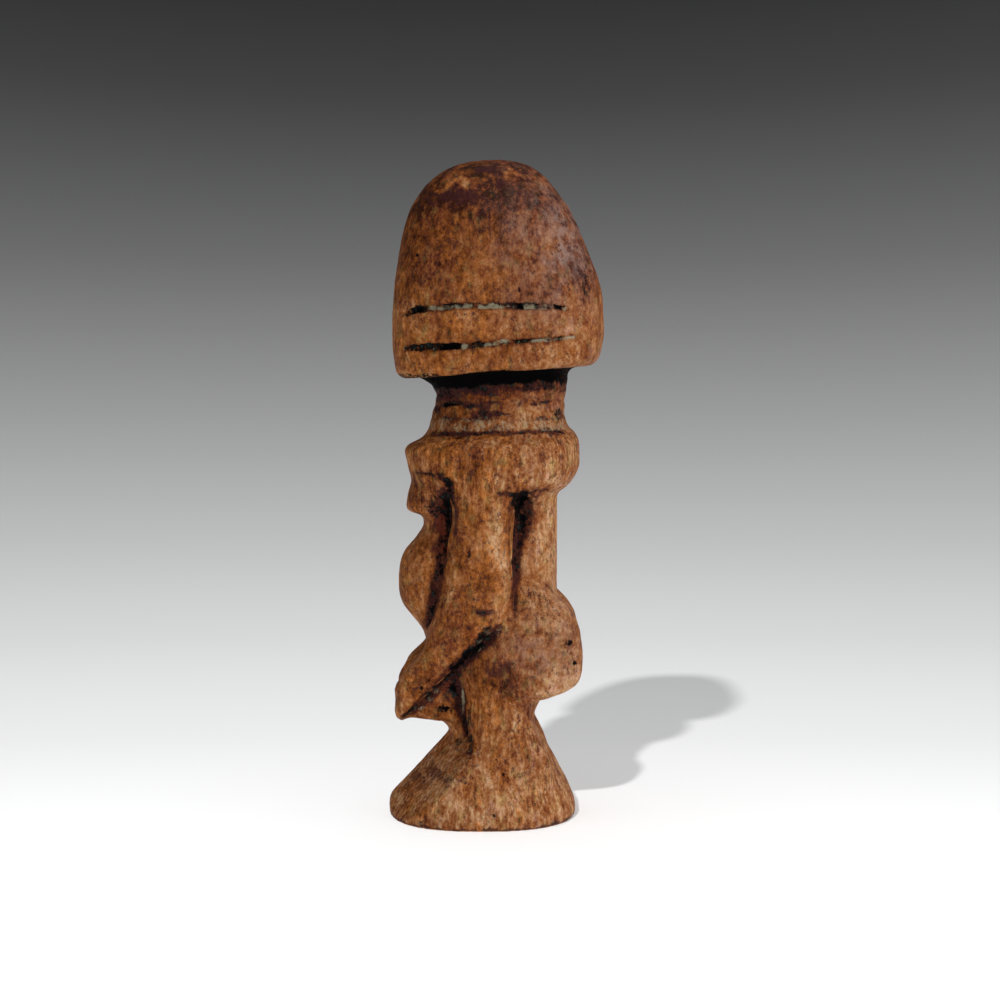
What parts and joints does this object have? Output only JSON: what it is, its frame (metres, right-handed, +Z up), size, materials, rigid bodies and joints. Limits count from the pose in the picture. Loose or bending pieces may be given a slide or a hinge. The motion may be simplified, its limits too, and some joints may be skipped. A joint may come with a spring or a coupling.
{
  "type": "wooden divination figure",
  "caption": "Small standing wooden figure with a tall domed head, collar, hands at the knees and a flared foot, carved from a single block.",
  "frame": {"origin": "centre of the foot's flat underside", "axes": "+Z up through the figure to its crown; -Y is the way the figure faces; +X is its left side"},
  "size_m": [0.0276, 0.033, 0.1],
  "materials": {
    "carved_wood": "worn, hand-polished wood with dark grime in its grooves"
  },
  "bodies": {
    "root": {"divination_figure": "carved_wood"}
  },
  "joints": []
}
